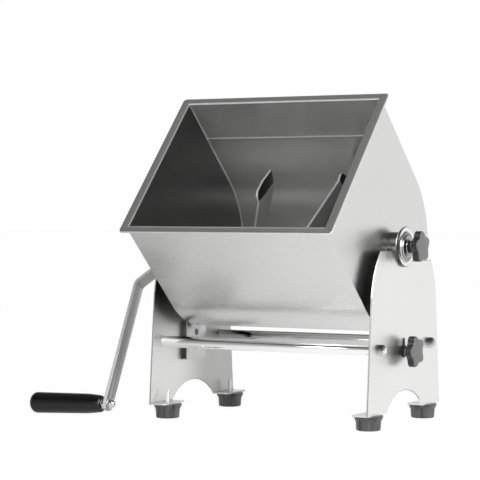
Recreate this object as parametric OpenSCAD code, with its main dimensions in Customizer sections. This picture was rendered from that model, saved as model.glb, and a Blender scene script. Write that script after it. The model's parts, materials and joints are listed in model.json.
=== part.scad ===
// Manual meat mixer: a tilting trough between two leg plates, with a hand-cranked paddle shaft.
// Millimetres. +X points to the knob side, -X to the crank side, +Y to the back, +Z up.
// The pieces are drawn about the middle of the tank, with the ground at Z = 0.

/* [Tank] */
// Length of the tank over its end walls
tank_len = 301.8; // [260:0.1:360]
// Outside radius of the rounded trough bottom, also half the depth of the mouth
tank_r = 119.5; // [100:0.5:124]
// Height of the mouth above the pivot axis
mouth_h = 167.5; // [140:0.5:180]
// Height of the trough's arc centre above the pivot axis
arc_rise = 5.4; // [0:0.1:12]
// Sheet thickness of the tank
tank_t = 1.5; // [1:0.1:2.5]
// Width of the outward rim over the end walls
rim_w = 9.6; // [6:0.1:11]
// Width of the outward rim along the front and the back
rim_long_w = 8; // [5:0.1:11]
// Thickness of the folded rim
rim_t = 3; // [1.5:0.1:5]
// Plan radius of the rim's outer corners
rim_corner_r = 5; // [2:0.5:8]
// Forward tilt of the tank as it stands
tilt = 47; // [0:1:90]

/* [Legs] */
// Height of the pivot axis over the ground
pivot_h = 242.3; // [225:0.1:280]
// Distance of the pivot in front of the middle of the legs
pivot_fwd = 3.6; // [0:0.1:8]
// Sheet thickness of the leg plates
leg_t = 2; // [1.5:0.1:3]
// Gap between the tank and the leg plate on the knob side
gap_knob = 13.7; // [12:0.1:20]
// Gap between the tank and the leg plate on the crank side
gap_crank = 18.1; // [15:0.1:25]
// Width of a leg plate at its bottom edge
leg_base_w = 237; // [220:1:260]
// Width of a leg plate where the shoulder arc starts
leg_waist_w = 212; // [200:1:218]
// Height at which the shoulder arc starts
shoulder_h = 172; // [150:1:180]
// Radius of the shoulder arc
shoulder_r = 108; // [90:1:140]
// Height of the front shoulder below the pivot axis
front_drop = 4; // [0:0.5:12]
// Height of the rear shoulder below the pivot axis
rear_drop = 20; // [14:0.5:23]
// Radius of the round ear that carries the pivot
ear_r = 25; // [23:0.5:27]
// Rise of the arch between the feet over the bottom edge
arch_rise = 26.5; // [15:0.5:35]
// Half width of the arch at the bottom edge
arch_half_w = 59.5; // [45:0.5:62]
// Depth of the foot flanges bent inwards, from the outer face
flange_depth = 25; // [20:0.5:32]
// Width of a foot flange
flange_w = 57; // [44:1:58]
// Corner radius of a foot flange
flange_r = 5; // [2:0.5:9]
// Inside radius of the bend between plate and flange
bend_r = 2; // [1:0.5:4]

/* [Feet] */
// Height of a rubber foot
foot_h = 20; // [16:0.5:26]
// Radius of a foot at the ground
foot_bottom_r = 16.4; // [14:0.1:18]
// Radius of a foot at its top
foot_top_r = 19.9; // [18:0.1:22]
// Distance of a foot from the middle, front to back
foot_y = 88.6; // [80:0.1:90]
// Distance of a foot's centre inside the plate's outer face
foot_inset = 12.7; // [11:0.1:16]
// Diameter of a foot stud
stud_d = 5; // [4:0.5:6]
// Length of a foot stud above its flange
stud_up = 17.5; // [10:0.5:24]
// Depth of a foot stud in the rubber
stud_in = 12; // [8:0.5:14]

/* [Tie rods] */
// Diameter of a tie rod
rod_d = 16.3; // [12:0.1:17]
// Distance of a tie rod from the middle, front to back
rod_y = 80.7; // [74:0.1:86]
// Height of the tie rods over the ground
rod_h = 106.3; // [100:0.1:110]
// Diameter of the threaded rod ends
rod_thread_d = 8; // [6:1:10]
// Width of a rod nut across its flats
rod_nut_af = 13; // [10:0.5:17]
// Thickness of a rod nut
rod_nut_h = 6.5; // [5:0.5:8]
// Length of thread that stands out of a rod nut
rod_tip = 3; // [1:0.5:5]

/* [Pivot] */
// Diameter of the trunnion shoulder between tank and plate
trunnion_d = 40; // [36:0.5:44]
// Diameter of the trunnion journal in the plate
journal_d = 30; // [28:0.5:32]
// Wall of the plastic pivot liner
liner_wall = 2; // [1.5:0.1:3]
// Thickness of the liner's outer flange
liner_flange_t = 1.2; // [0.8:0.1:2]
// Diameter of the liner's outer flange
liner_flange_d = 44; // [40:0.5:48]
// Diameter of the hub flange outside the plate
hub_d = 55; // [52:0.5:58]
// Thickness of the hub flange
hub_t = 2.5; // [2:0.1:4]
// Diameter of the raised ring on the hub
hub_ring_d = 39; // [36:0.5:44]
// Height of the raised ring on the hub
hub_ring_h = 1.6; // [1:0.1:3]
// Diameter of the hub's inner step
hub_step_d = 31; // [28:0.5:34]
// Height of the hub's inner step
hub_step_h = 1.2; // [0.8:0.1:2]
// Diameter of the hub nose
hub_nose_d = 20; // [18:0.5:26]
// Length of the hub nose
hub_nose_h = 2.2; // [1:0.1:5]

/* [Shaft] */
// Diameter of the mixing shaft
shaft_d = 22; // [20:0.5:26]
// Clearance between the mixing shaft and the end wall
shaft_end_gap = 0.9; // [0.5:0.1:2]
// Diameter of the drive spindle
spindle_d = 20; // [16:0.5:21]
// Length of spindle that shows inside the tank
spindle_in = 13.4; // [8:0.1:20]
// Width of the drive tongue
tongue_w = 8; // [6:0.5:10]
// Length of the drive tongue
tongue_len = 11; // [8:0.5:15]
// Wall of the bearing bush in the crank-side trunnion
bush_wall = 2; // [1.5:0.1:3]
// Thickness of the thrust seal on the spindle
seal_t = 4; // [2:0.5:6]
// Diameter of the thrust seal
seal_d = 30; // [26:0.5:36]

/* [Paddles] */
// Place of the second paddle along the shaft
paddle_x = -20.5; // [-30:0.5:-10]
// Spacing of the paddles along the shaft
paddle_step = 77.5; // [65:0.5:78]
// Turn from one paddle to the next
paddle_turn = 62; // [45:1:90]
// Thickness of a paddle
paddle_t = 3; // [2:0.5:4]
// Height of a paddle's tip over the shaft axis
paddle_tip = 106; // [95:0.5:107]
// Width of a paddle's tip
paddle_w = 48; // [40:1:52]
// Width of a paddle at its root
root_w = 40; // [30:1:44]
// Height of the fold over the axis at the leading edge
fold_lead = 93; // [80:1:96]
// Height of the fold over the axis at the trailing edge
fold_trail = 81; // [70:1:85]
// Angle of the fold
fold_angle = 25; // [10:1:30]
// Radius of the fold on the paddle's centre line
paddle_bend_r = 5; // [3:0.5:10]
// Sideways place of the tip's leading edge
tip_lead = -3; // [-10:0.5:0]
// Reach of the paddle's pointed corner to the side
apex_w = 53; // [48:0.5:54]
// Height of the pointed corner over the shaft's axis
apex_up = 98; // [92:0.5:99]
// Reach of the trailing edge to the side at its bend
belly_w = 43.5; // [38:0.5:46]
// Height of the trailing edge's bend
belly_up = 61; // [50:1:70]
// Corner radius of a paddle's tip
paddle_r = 10; // [4:0.5:12]

/* [Crank] */
// Width of the crank bar
bar_w = 20; // [16:0.5:24]
// Thickness of the crank bar
bar_t = 5; // [4:0.5:8]
// Distance from the shaft axis to the grip bolt
arm_len = 256; // [240:0.5:270]
// Distance from the axis to the crank's outer bend
bend_at = 67; // [60:0.5:80]
// Distance from the axis to the crank's inner bend
elbow_at = 13; // [11:0.5:16]
// Sideways reach of the crank between its bends
arm_out = 56; // [40:0.5:62]
// Inward lean of the arm below the outer bend
arm_lean = 2; // [0:0.1:4]
// Bend radius of the crank bar on its centre line
arm_bend_r = 12; // [8:0.5:16]
// Side of the square on the spindle
square_w = 14; // [11:0.5:14]
// Thickness of the spindle collar behind the crank
collar_t = 3.6; // [2:0.1:6]
// Diameter of the spindle's threaded end
end_thread_d = 10; // [8:1:12]
// Width of the crank nut across its flats
crank_nut_af = 17; // [15:0.5:19]
// Height of the crank nut
crank_nut_h = 15; // [12:0.5:18]

/* [Grip] */
// Length of the grip
grip_len = 117; // [100:1:130]
// Radius of the grip at its outer end
grip_r = 15; // [13:0.1:17]
// Radius of the grip where its taper starts
grip_mid_r = 14.2; // [12.5:0.1:16]
// Radius of the grip at the crank end
grip_neck_r = 11.9; // [10:0.1:13]
// Length of the tapered neck
grip_neck_len = 31; // [20:1:45]
// Rounding of the grip's outer end
grip_round = 9; // [6:0.5:11]
// Diameter of the grip bolt
bolt_d = 8; // [6:1:10]
// Width of the grip bolt's nuts across the flats
bolt_nut_af = 13; // [10:0.5:15]
// Thickness of the jam nut beside the grip
jam_nut_h = 6.5; // [5:0.5:8]
// Length of the grip bolt inside the grip
bolt_len = 90; // [60:1:95]
// Gap between the jam nut and the grip
grip_gap = 0.8; // [0.3:0.1:3]

/* [Star knobs] */
// Radius of a star knob over its lobes
knob_r = 21.7; // [19:0.1:24]
// Radius of a lobe's round tip
lobe_r = 5.6; // [4:0.1:6.5]
// Radius of the valleys between the lobes
valley_r = 12; // [8:0.5:16]
// Distance of the valleys' bottoms from the knob's axis
valley_at = 16.6; // [14:0.1:18]
// Thickness of a knob's head
knob_head_h = 11; // [8:0.5:14]
// Length of a knob's boss
knob_boss_h = 9; // [6:0.5:12]
// Diameter of a knob's boss where it meets the head
knob_boss_d = 18.5; // [14:0.5:20]
// Number of lobes
lobe_count = 5; // [3:1:7]

/* [Shaft release] */
// Diameter of the release screw
release_d = 12; // [11:0.5:14]
// Diameter of the journal pin at its tip
pin_d = 10; // [8:0.5:10.5]
// Length of the journal pin inside the shaft
pin_in = 8; // [6:0.5:12]
// Rotation of the release knob as it stands
release_turn = 8; // [0:1:72]

/* [Tilt lock] */
// Travel of the lock screw between free and locked
lock_travel = 5; // [4:0.5:7]
// Length of the lock knob's boss
lock_neck_h = 4.2; // [3:0.1:6]
// Wall of the sleeve that the lock knob's boss slides over
sleeve_wall = 1.2; // [0.8:0.1:1.5]
// Distance of the lock screw below the pivot axis
lock_drop = 142; // [138:0.5:142]
// Diameter of the lock screw
lock_d = 10; // [8:0.5:10]
// Length of the welded lock boss
lock_boss_h = 6; // [4:0.5:6]
// Diameter of the welded lock boss
lock_boss_d = 20; // [17:0.5:24]
// Thickness of the tab washer
tab_t = 0.8; // [0.6:0.1:1.5]
// Height of the washer's tab over the screw axis
tab_up = 17.8; // [14:0.1:20]
// Width of the lock ear on the tank
ear_w = 27; // [20:0.5:30]
// Distance of the ears' upper ends from the pivot axis
ear_top = 95; // [85:1:100]
// Thickness of the two tank ears
ear_t = 3; // [2:0.5:4]
// Distance of the lock ear's end from the pivot axis
lock_ear_end = 146.5; // [144:0.5:147]

/* [Upright catch] */
// Height of the catch bracket
catch_h = 58; // [50:1:60]
// Width of the catch bracket
catch_w = 54; // [40:1:60]
// Height of the catch hole over the bracket's lower edge
catch_hole_up = 38.6; // [20:0.1:44]
// Stand-off of the bracket's face from the plate
catch_out = 8; // [6:0.5:9]
// Sheet thickness of the catch bracket
catch_t = 1.5; // [1:0.1:2]
// Diameter of the catch hole
catch_hole_d = 9.5; // [8.5:0.1:11]
// Diameter of the catch stud on the tank's ear
catch_stud_d = 7; // [5:0.5:8]
// Distance of the catch stud below the pivot axis
catch_drop = 126.7; // [124:0.1:128]

/* [Fits] */
// Radial clearance of a running fit
run = 0.05; // [0.02:0.01:0.1]
// Clearance between pieces that move past each other
play = 0.3; // [0.2:0.05:0.5]

/* [Hidden] */
$fn = 64;

// Planes along X, from the middle of the tank outwards
x_end = tank_len / 2;
x_wall = x_end - tank_t;
x_right_in = x_end + gap_knob;
x_right = x_right_in + leg_t;
x_left_in = x_end + gap_crank;
x_left = x_left_in + leg_t;
hub_gap = play / 2;
hub_from = liner_flange_t + 2 * hub_gap;
journal_end = hub_from + hub_t;
hub_top = journal_end + hub_ring_h + hub_step_h + hub_nose_h;
hub_left_top = journal_end + hub_ring_h;
x_release = x_right + hub_top + play;
x_release_top = x_release + knob_boss_h + knob_head_h;
x_lock = x_right + tab_t + play + lock_travel;
x_collar = x_left + hub_left_top + play;
x_arm = x_collar + collar_t;
arm_mid = x_arm + bar_t / 2;

// The sleeve stays inside the lock knob's boss over the whole travel
sleeve_r = lock_d / 2 + play + sleeve_wall;
sleeve_h = tab_t + play + lock_travel + lock_neck_h / 2;
tab_washer_r = sleeve_r + 2.5;

// Heights and reaches
lock_h = pivot_h - lock_drop;
shaft_end = x_wall - shaft_end_gap;
spindle_end = x_wall - spindle_in;
lock_tip = x_end + play + lock_travel;
sheet_hole = release_d / 2 + run;

// The crank hangs forward until its grip is just off the ground
grip_start = bar_t / 2 + jam_nut_h + grip_gap;
grip_far_r = arm_len + (grip_start + grip_len - grip_round) * sin(arm_lean);
ground_gap = 0.4;
crank_swing = acos(min(1, (pivot_h - grip_r - ground_gap) / grip_far_r));
arm_out_mid = arm_mid + arm_out;
bolt_x = arm_out_mid - (arm_len - bend_at) * tan(arm_lean);

// The origin is at the middle of the bounding box, on the ground
grip_tip = (grip_start + grip_len - grip_round) * cos(arm_lean)
    + (grip_r - grip_round) * sin(arm_lean) + grip_round;
x_low = -(bolt_x + grip_tip);
rim_y = tank_r + rim_long_w;
y_low = -(pivot_fwd + rim_y * cos(tilt) + mouth_h * sin(tilt));
y_high = max(leg_base_w / 2, foot_y + foot_top_r);
origin_x = (x_low + x_release_top) / 2;
origin_y = (min(y_low, -leg_base_w / 2) + y_high) / 2;

module placed() {
    translate([-origin_x, -origin_y, 0]) children();
}

// Parts of the tilting body are drawn upright about the pivot axis
module on_tank() {
    on_pivot() rotate([tilt, 0, 0]) children();
}

module on_pivot() {
    placed() translate([0, -pivot_fwd, pivot_h]) children();
}

// The crank is drawn hanging straight down
module on_crank() {
    on_pivot() rotate([-crank_swing, 0, 0]) children();
}

// The grip's axis leaves the bar at a right angle
module on_grip() {
    on_crank() translate([-bolt_x, 0, -arm_len]) rotate([0, -arm_lean, 0]) rotate([0, -90, 0])
        children();
}

// A cylinder along X between two planes
module bar_x(from, to, r) {
    translate([from, 0, 0]) rotate([0, 90, 0]) cylinder(h = to - from, r = r);
}

// A hexagon nut along Z with chamfered corners
module hex_nut(af, h, bore_r) {
    corner = af / cos(30) / 2;
    difference() {
        intersection() {
            cylinder(h = h, r = corner, $fn = 6);
            rotate_extrude() polygon([[0, 0], [af / 2, 0], [corner, 0.6], [corner, h - 0.6],
                [af / 2, h], [0, h]]);
        }
        translate([0, 0, -1]) cylinder(h = h + 2, r = bore_r);
    }
}

// Outline of a bar or sheet of thickness t that follows a path, with its bends rounded
function leg_dir(path, i) = atan2(path[i + 1][1] - path[i][1], path[i + 1][0] - path[i][0]);
function bend(path, i, r, shift) = let (a0 = leg_dir(path, i - 1), turn = leg_dir(path, i) - a0,
    s = turn > 0 ? 1 : -1, run_in = r * tan(abs(turn) / 2),
    c = path[i] - run_in * [cos(a0), sin(a0)] + s * r * [-sin(a0), cos(a0)])
    [for (k = [0:8]) let (a = a0 - s * 90 + turn * k / 8) c + (r - s * shift) * [cos(a), sin(a)]];
function tail(path, i, a, shift) = [path[i] + shift * [-sin(a), cos(a)]];
function side(path, r, shift) = let (n = len(path) - 1) concat(
    tail(path, 0, leg_dir(path, 0), shift),
    [for (i = [1:n - 1]) for (p = bend(path, i, r, shift)) p],
    tail(path, n, leg_dir(path, n - 1), shift));
function strip(path, t, r) = let (far = side(path, r, -t / 2))
    concat(side(path, r, t / 2), [for (i = [len(far) - 1:-1:0]) far[i]]);

// Leg plates

// Points of the shoulder arc, from its start up to a given height
waist = leg_waist_w / 2;
side_angle = atan2(shoulder_h - foot_h, leg_base_w / 2 - waist);
arc_cy = waist - shoulder_r * sin(side_angle);
arc_cz = shoulder_h - shoulder_r * cos(side_angle);
function shoulder(top) = let (a0 = 90 - side_angle, a1 = asin((top - arc_cz) / shoulder_r))
    [for (i = [0:12]) let (a = a0 + (a1 - a0) * i / 12)
        [arc_cy + shoulder_r * cos(a), arc_cz + shoulder_r * sin(a)]];

module leg_outline() {
    front = shoulder(pivot_h - front_drop);
    rear = shoulder(pivot_h - rear_drop);
    rear_edge = [for (p = rear) p];
    front_edge = [for (i = [12:-1:0]) [-front[i][0], front[i][1]]];
    arch_r = (pow(arch_half_w, 2) + pow(arch_rise, 2)) / (2 * arch_rise);
    difference() {
        union() {
            polygon(concat([[leg_base_w / 2, foot_h]], rear_edge,
                [[0, rear[12][1]], [0, front[12][1]]], front_edge, [[-leg_base_w / 2, foot_h]]));
            translate([-pivot_fwd, pivot_h]) circle(r = ear_r);
        }
        translate([0, foot_h + arch_rise - arch_r]) circle(r = arch_r, $fn = 128);
    }
}

// One leg plate as it stands on the knob side: outer face on x, flanges towards the middle
module leg_plate(x) {
    difference() {
        union() {
            translate([x - leg_t, 0, 0]) rotate([90, 0, 90]) linear_extrude(leg_t) leg_outline();
            for (s = [-1, 1]) translate([0, s * foot_y, 0]) foot_flange(x);
        }
        translate([0, -pivot_fwd, pivot_h])
            bar_x(x - leg_t - 1, x + 1, journal_d / 2 + liner_wall);
        for (s = [-1, 1]) {
            translate([0, s * rod_y, rod_h]) bar_x(x - leg_t - 1, x + 1, rod_thread_d / 2 + run);
            translate([x - foot_inset, s * foot_y, foot_h - 1])
                cylinder(h = leg_t + 2, r = stud_d / 2 + run);
        }
    }
}

module foot_flange(x) {
    inner = x - flange_depth;
    straight = x - leg_t - bend_r;
    translate([0, 0, foot_h]) linear_extrude(leg_t) union() {
        translate([inner + flange_r, -flange_w / 2]) square([straight - inner - flange_r, flange_w]);
        translate([inner, -flange_w / 2 + flange_r]) square([flange_r, flange_w - 2 * flange_r]);
        for (s = [-1, 1]) translate([inner + flange_r, s * (flange_w / 2 - flange_r)])
            circle(r = flange_r);
    }
    translate([straight, flange_w / 2, foot_h + leg_t + bend_r]) rotate([90, 0, 0])
        linear_extrude(flange_w) intersection() {
            difference() {
                circle(r = bend_r + leg_t);
                circle(r = bend_r);
            }
            translate([0, -bend_r - leg_t]) square(bend_r + leg_t);
        }
}

module leg_plate_right() {
    color("gainsboro") placed() difference() {
        leg_plate(x_right);
        translate([0, -pivot_fwd, lock_h]) bar_x(x_right_in - 1, x_right + 1, lock_d / 2 + run);
    }
}

module leg_plate_left() {
    color("gainsboro") placed() mirror([1, 0, 0]) leg_plate(x_left);
}

// Tie rods, with shouldered thread ends through the plates
module tie_rod(y) {
    color("silver") placed() translate([0, y, rod_h]) {
        bar_x(-x_left_in, x_right_in, rod_d / 2);
        bar_x(-x_left - rod_nut_h - rod_tip, x_right + rod_nut_h + rod_tip, rod_thread_d / 2);
    }
}

module tie_rod_front() {
    tie_rod(-rod_y);
}

module tie_rod_rear() {
    tie_rod(rod_y);
}

module tie_rod_nuts() {
    color("silver") placed() for (s = [-1, 1]) translate([0, s * rod_y, rod_h]) {
        translate([x_right, 0, 0]) rotate([0, 90, 0])
            hex_nut(rod_nut_af, rod_nut_h, rod_thread_d / 2 + run);
        translate([-x_left, 0, 0]) rotate([0, -90, 0])
            hex_nut(rod_nut_af, rod_nut_h, rod_thread_d / 2 + run);
    }
}

// Feet

// A rubber cup foot, widening under its flange
module foot(x, y) {
    knee_h = foot_h * 0.6;
    knee_r = foot_bottom_r + 0.7;
    lip = 2;
    color("dimgray") placed() translate([x, y, 0]) difference() {
        rotate_extrude() polygon([[0, 0], [foot_bottom_r - 1, 0], [foot_bottom_r, 1],
            [knee_r, knee_h], [foot_top_r, foot_h - lip], [foot_top_r, foot_h], [0, foot_h]]);
        translate([0, 0, foot_h - stud_in]) cylinder(h = stud_in + 1, r = stud_d / 2 + run);
    }
}

right_foot_x = x_right - foot_inset;
left_foot_x = -(x_left - foot_inset);

module foot_front_left() {
    foot(left_foot_x, -foot_y);
}

module foot_front_right() {
    foot(right_foot_x, -foot_y);
}

module foot_rear_left() {
    foot(left_foot_x, foot_y);
}

module foot_rear_right() {
    foot(right_foot_x, foot_y);
}

module foot_studs() {
    color("silver") placed() for (x = [left_foot_x, right_foot_x]) for (s = [-1, 1])
        translate([x, s * foot_y, foot_h - stud_in])
            cylinder(h = stud_in + leg_t + stud_up, r = stud_d / 2);
}

// Upright catch: a folded bracket on the crank-side plate and a stud on the tank's ear
module catch_bracket() {
    hole_z = pivot_h - catch_drop;
    catch_z = hole_z - catch_hole_up;
    face_x = -x_left_in + catch_out;
    color("silver") placed() translate([0, -pivot_fwd, 0]) difference() {
        union() {
            translate([face_x - catch_t, -catch_w / 2, catch_z]) cube([catch_t, catch_w, catch_h]);
            for (z = [catch_z, catch_z + catch_h - catch_t])
                translate([-x_left_in, -catch_w / 2, z]) cube([catch_out, catch_w, catch_t]);
        }
        translate([0, 0, hole_z]) bar_x(face_x - catch_t - 1, face_x + 1, catch_hole_d / 2);
    }
}

// Pivot liners between the plates and the trunnions
module pivot_liner(x) {
    difference() {
        union() {
            bar_x(x - leg_t, x, journal_d / 2 + liner_wall);
            bar_x(x, x + liner_flange_t, liner_flange_d / 2);
        }
        bar_x(x - leg_t - 1, x + liner_flange_t + 1, journal_d / 2 + run);
    }
}

module pivot_liner_left() {
    color("ivory") on_pivot() mirror([1, 0, 0]) pivot_liner(x_left);
}

module pivot_liner_right() {
    color("ivory") on_pivot() pivot_liner(x_right);
}

// Tilt lock on the knob-side plate
module lock_boss() {
    color("silver") placed() translate([0, -pivot_fwd, lock_h]) difference() {
        bar_x(x_right_in - lock_boss_h, x_right_in, lock_boss_d / 2);
        bar_x(x_right_in - lock_boss_h - 1, x_right_in + 1, lock_d / 2 + run);
    }
}

module lock_tab_washer() {
    tab_w = 5;
    color("black") placed() translate([x_right, -pivot_fwd, lock_h]) rotate([90, 0, 90])
        difference() {
            union() {
                linear_extrude(tab_t) union() {
                    circle(r = tab_washer_r);
                    translate([-tab_w / 2, 0]) square([tab_w, tab_up]);
                }
                cylinder(h = sleeve_h, r = sleeve_r);
            }
            translate([0, 0, -1]) cylinder(h = sleeve_h + 2, r = lock_d / 2 + play);
        }
}

// Tank

// The trough's outline at a distance inside the outer face, up to a given height
module trough_outline(inside, top) {
    r = tank_r - inside;
    union() {
        translate([0, arc_rise]) circle(r = r, $fn = 180);
        translate([-r, arc_rise]) square([2 * r, top - arc_rise]);
    }
}

module tank_wrap() {
    color("silver") on_tank() rotate([90, 0, 90]) translate([0, 0, -x_wall])
        linear_extrude(2 * x_wall) difference() {
            trough_outline(0, mouth_h - rim_t);
            trough_outline(tank_t, mouth_h + 1);
        }
}

// An end wall, with a hole for what passes through it
module tank_end(x, hole_r) {
    translate([x, 0, 0]) rotate([90, 0, 90]) linear_extrude(tank_t) difference() {
        trough_outline(0, mouth_h - rim_t);
        circle(r = hole_r);
    }
}

module tank_end_left() {
    color("silver") on_tank() tank_end(-x_end, spindle_d / 2 + bush_wall + run);
}

module tank_end_right() {
    color("silver") on_tank() tank_end(x_wall, sheet_hole);
}

module rim_flange() {
    r = rim_corner_r;
    x = x_end + rim_w;
    color("gray") on_tank() translate([0, 0, mouth_h - rim_t]) linear_extrude(rim_t)
        difference() {
            union() {
                square([2 * (x - r), 2 * rim_y], center = true);
                square([2 * x, 2 * (rim_y - r)], center = true);
                for (sx = [-1, 1]) for (sy = [-1, 1])
                    translate([sx * (x - r), sy * (rim_y - r)]) circle(r = r);
            }
            square([2 * x_wall, 2 * (tank_r - tank_t)], center = true);
        }
}

// Trunnions: a wide shoulder on the end wall and a journal through the plate
module trunnion(gap, bore_r) {
    difference() {
        union() {
            bar_x(x_end, x_end + gap - play, trunnion_d / 2);
            bar_x(x_end + gap - play, x_end + gap + leg_t + journal_end, journal_d / 2);
        }
        bar_x(x_end - 1, x_end + gap + leg_t + journal_end + 1, bore_r);
    }
}

module trunnion_left() {
    color("lightgray") on_tank() mirror([1, 0, 0])
        trunnion(gap_crank, spindle_d / 2 + bush_wall + run);
}

module trunnion_right() {
    color("lightgray") on_tank() trunnion(gap_knob, sheet_hole);
}

// The turned hub outside a plate, with its flange, ring, step and nose
module hub_flange_right() {
    ring = journal_end + hub_ring_h;
    step = ring + hub_step_h;
    color("lightgray") on_tank() translate([x_right, 0, 0]) difference() {
        rotate([90, 0, 90]) rotate_extrude() polygon([[0, hub_from], [hub_d / 2 - 0.5, hub_from],
            [hub_d / 2, hub_from + 0.5], [hub_d / 2, journal_end - 0.5],
            [hub_d / 2 - 0.5, journal_end], [hub_ring_d / 2 + 1.5, journal_end - 0.5],
            [hub_ring_d / 2, ring - 0.3], [hub_ring_d / 2 - 0.8, ring],
            [hub_step_d / 2 + 1.5, ring - 0.6], [hub_step_d / 2, step], [hub_nose_d / 2 + 2, step],
            [hub_nose_d / 2, step + 0.8], [hub_nose_d / 2 - 0.5, hub_top], [0, hub_top]]);
        bar_x(-1, journal_end, journal_d / 2 + run);
        bar_x(-1, hub_top + 1, sheet_hole);
    }
}

module hub_flange_left() {
    color("lightgray") on_tank() mirror([1, 0, 0]) translate([x_left, 0, 0]) difference() {
        rotate([90, 0, 90]) rotate_extrude() polygon([[0, hub_from], [hub_d / 2 - 0.5, hub_from],
            [hub_d / 2, hub_from + 0.5], [hub_d / 2, journal_end - 0.5],
            [hub_d / 2 - 0.5, journal_end], [hub_ring_d / 2 + 1.5, journal_end - 0.5],
            [hub_ring_d / 2, hub_left_top - 0.3], [hub_ring_d / 2 - 0.8, hub_left_top],
            [0, hub_left_top]]);
        bar_x(-1, journal_end, journal_d / 2 + run);
        bar_x(-1, hub_left_top + 1, spindle_d / 2 + play);
    }
}

// The bush that the spindle turns in
module bearing_bush() {
    color("ivory") on_tank() difference() {
        bar_x(-x_left - journal_end, -x_wall, spindle_d / 2 + bush_wall);
        bar_x(-x_left - journal_end - 1, -x_wall + 1, spindle_d / 2 + run);
    }
}

// The forked ear that the lock screw enters when the tank stands upright
module lock_ear() {
    slot_w = lock_d + 2 * play;
    r = 4;
    color("silver") on_tank() translate([x_end, 0, 0]) rotate([90, 0, 90])
        linear_extrude(ear_t) difference() {
            union() {
                translate([-ear_w / 2, -lock_ear_end + r]) square([ear_w, lock_ear_end - ear_top - r]);
                translate([-ear_w / 2 + r, -lock_ear_end]) square([ear_w - 2 * r, r]);
                for (s = [-1, 1]) translate([s * (ear_w / 2 - r), -lock_ear_end + r]) circle(r = r);
            }
            translate([0, -lock_drop + slot_w / 4]) circle(r = slot_w / 2);
            translate([-slot_w / 2, -lock_ear_end - 1])
                square([slot_w, lock_ear_end - lock_drop + slot_w / 4 + 1]);
        }
}

// The ear that carries the catch stud
module catch_ear() {
    end = catch_drop + ear_w / 2 - 4;
    color("silver") on_tank() translate([-x_end - ear_t, 0, 0]) rotate([90, 0, 90])
        linear_extrude(ear_t) difference() {
            union() {
                translate([-ear_w / 2, -catch_drop]) square([ear_w, catch_drop - ear_top]);
                intersection() {
                    translate([0, -catch_drop]) circle(r = ear_w / 2);
                    translate([-ear_w / 2, -end]) square([ear_w, ear_w]);
                }
            }
            translate([0, -catch_drop]) circle(r = catch_stud_d / 2 - 1);
        }
}

module catch_stud() {
    face = x_left_in - catch_out;
    color("silver") on_tank() translate([0, 0, -catch_drop]) {
        bar_x(-x_end - ear_t, -x_end, catch_stud_d / 2 - 1 - run);
        bar_x(-face + play, -x_end - ear_t, catch_stud_d / 2);
    }
}

// Mixing shaft

module mixing_shaft() {
    slot_w = tongue_w + 2 * run;
    color("lightgray") on_tank() difference() {
        bar_x(-spindle_end, shaft_end, shaft_d / 2);
        bar_x(shaft_end - pin_in - 1, shaft_end + 1, pin_d / 2 + run);
        translate([-spindle_end - 1, -slot_w / 2, -shaft_d / 2 - 1])
            cube([tongue_len + 1.5, slot_w, shaft_d + 2]);
    }
}

// A paddle points up from the shaft; beyond its fold it stands square to the shaft
module paddle(count) {
    trail = tip_lead + paddle_w;
    fold_len = norm([paddle_w, fold_lead - fold_trail]);
    slant = atan2(fold_lead - fold_trail, paddle_w);
    path = [[0, -paddle_tip], [0, 0], [-paddle_tip * tan(fold_angle), paddle_tip]];
    tip_z = paddle_tip - paddle_r;
    mid_w = (tip_lead + apex_w) / 2;
    color("gainsboro") on_tank() translate([paddle_x + count * paddle_step, 0, 0])
        rotate([-count * paddle_turn, 0, 0]) difference() {
        intersection() {
            translate([0, tip_lead, fold_lead]) rotate([-90 - slant, 0, 0])
                translate([0, 0, -fold_len]) linear_extrude(3 * fold_len)
                    polygon(strip(path, paddle_t, paddle_bend_r));
            rotate([90, 0, 90]) translate([0, 0, -paddle_step]) linear_extrude(2 * paddle_step)
                union() {
                    polygon([[-root_w / 2, 0], [root_w / 2, 0], [belly_w, belly_up],
                        [trail, fold_trail], [apex_w, apex_up], [mid_w, paddle_tip - 1],
                        [tip_lead + paddle_r, paddle_tip], [tip_lead + paddle_r, tip_z],
                        [tip_lead, tip_z]]);
                    translate([tip_lead + paddle_r, tip_z]) circle(r = paddle_r);
                }
        }
        bar_x(-paddle_step, paddle_step, shaft_d / 2 + run);
    }
}

module paddle_1() {
    paddle(-1);
}

module paddle_2() {
    paddle(0);
}

module paddle_3() {
    paddle(1);
}

module paddle_4() {
    paddle(2);
}

// The spindle through the crank-side trunnion
module drive_spindle() {
    color("lightgray") on_crank() {
        bar_x(-x_collar, -spindle_end, spindle_d / 2);
        bar_x(-x_arm, -x_collar, spindle_d / 2 + 3);
        translate([-x_arm - bar_t, -square_w / 2, -square_w / 2]) cube([bar_t, square_w, square_w]);
        bar_x(-x_arm - bar_t - 0.6 * crank_nut_h, -x_arm, end_thread_d / 2);
        rotate([tilt + crank_swing, 0, 0]) translate([-spindle_end, 0, 0]) intersection() {
            translate([-5, -tongue_w / 2, -spindle_d / 2])
                cube([tongue_len + 5, tongue_w, spindle_d]);
            bar_x(-5, tongue_len, spindle_d / 2 - 0.5);
        }
    }
}

module thrust_seal() {
    color("black") on_crank() difference() {
        bar_x(-x_wall + play, -x_wall + play + seal_t, seal_d / 2);
        bar_x(-x_wall, -x_wall + play + seal_t + 1, spindle_d / 2 + run);
    }
}

// Crank

// Centre-line points of the crank bar as [sideways, down]
arm_end = arm_len + bar_w / 2;
arm_path = [[arm_mid, -bar_w / 2], [arm_mid, elbow_at], [arm_out_mid, bend_at],
    [arm_out_mid - (arm_end - bend_at) * tan(arm_lean), arm_end]];

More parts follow.
